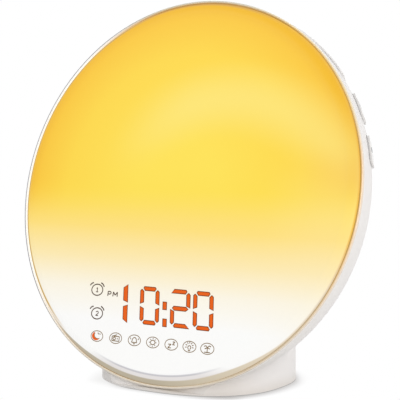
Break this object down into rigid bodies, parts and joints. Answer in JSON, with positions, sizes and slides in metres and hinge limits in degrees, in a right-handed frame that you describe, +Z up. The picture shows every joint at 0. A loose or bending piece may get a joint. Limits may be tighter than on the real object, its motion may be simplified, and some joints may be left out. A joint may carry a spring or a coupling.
{
  "type": "sunrise alarm clock",
  "caption": "Round sunrise alarm clock: an opal lamp face leaning back on a moulded foot, with a lit digital time display in its lower third.",
  "frame": {"origin": "on the table, under the middle of the clock's bounding box", "axes": "+X to the right seen from the front, +Y to the back, +Z up; the lamp face looks along -Y and leans back"},
  "size_m": [0.1706, 0.0779, 0.1666],
  "materials": {
    "housing_plastic": "satin white injection-moulded ABS",
    "lens_plastic": "opal diffusing polycarbonate, lit from behind",
    "ring_plastic": "clear-lacquered cream trim",
    "inner_white": "bright white reflector-grade ABS",
    "black_plastic": "black ABS",
    "lit_segment": "orange diffused epoxy",
    "circuit_board": "green solder mask on FR4",
    "lamp_chip": "warm phosphor",
    "screw_steel": "zinc-plated steel",
    "contact_brass": "plated spring brass",
    "rubber": "matt moulded rubber"
  },
  "bodies": {
    "clock": {"front_lens": "lens_plastic", "bezel_ring": "ring_plastic", "rear_housing": "housing_plastic", "base_plate": "housing_plastic", "rubber_feet": "rubber", "base_screws": "screw_steel", "housing_screws": "screw_steel", "reflector": "inner_white", "lamp_board": "circuit_board", "lamp_leds": "lamp_chip", "lamp_screws": "screw_steel", "display_frame": "black_plastic", "display_board": "circuit_board", "digit_module": "black_plastic", "digit_segments": "lit_segment", "icon_guide": "inner_white", "icon_leds": "lamp_chip", "face_mask": "black_plastic", "display_screws": "screw_steel", "main_board": "circuit_board", "main_chips": "black_plastic", "board_screws": "screw_steel", "speaker_grille": "housing_plastic", "speaker_gasket": "rubber", "speaker_frame": "screw_steel", "speaker_cone": "black_plastic", "speaker_magnet": "screw_steel", "speaker_clamp": "black_plastic", "speaker_screws": "screw_steel", "snooze_switches": "screw_steel", "snooze_board": "circuit_board", "right_switches": "screw_steel", "right_board": "circuit_board", "left_switches": "screw_steel", "left_board": "circuit_board", "key_screws": "screw_steel", "power_board": "circuit_board", "power_screws": "screw_steel", "dc_jack": "black_plastic", "antenna_grommet": "rubber", "battery_door": "housing_plastic", "door_screw": "screw_steel", "cell_holder": "black_plastic", "coin_cell": "screw_steel", "cell_contact": "contact_brass"},
    "snooze": {"snooze_bar": "housing_plastic", "snooze_plunger_left": "black_plastic", "snooze_plunger_right": "black_plastic"},
    "right_upper_key": {"right_upper_button": "housing_plastic", "right_upper_plunger": "black_plastic"},
    "right_lower_key": {"right_lower_button": "housing_plastic", "right_lower_plunger": "black_plastic"},
    "left_upper_key": {"left_upper_button": "housing_plastic", "left_upper_plunger": "black_plastic"},
    "left_lower_key": {"left_lower_button": "housing_plastic", "left_lower_plunger": "black_plastic"}
  },
  "joints": [
    {"name": "snooze_press", "type": "slide", "parent": "clock", "child": "snooze", "axis": [0, -0.2462, -0.9692], "range_m": [0, 0.0003], "stiffness_N_per_m": 1500, "springref_m": -0.0006},
    {"name": "right_upper_press", "type": "slide", "parent": "clock", "child": "right_upper_key", "axis": [-0.9265, -0.0926, -0.3646], "range_m": [0, 0.0003], "stiffness_N_per_m": 1500, "springref_m": -0.0006},
    {"name": "right_lower_press", "type": "slide", "parent": "clock", "child": "right_lower_key", "axis": [-0.9265, -0.0926, -0.3646], "range_m": [0, 0.0003], "stiffness_N_per_m": 1500, "springref_m": -0.0006},
    {"name": "left_upper_press", "type": "slide", "parent": "clock", "child": "left_upper_key", "axis": [0.9265, -0.0926, -0.3646], "range_m": [0, 0.0003], "stiffness_N_per_m": 1500, "springref_m": -0.0006},
    {"name": "left_lower_press", "type": "slide", "parent": "clock", "child": "left_lower_key", "axis": [0.9265, -0.0926, -0.3646], "range_m": [0, 0.0003], "stiffness_N_per_m": 1500, "springref_m": -0.0006}
  ]
}
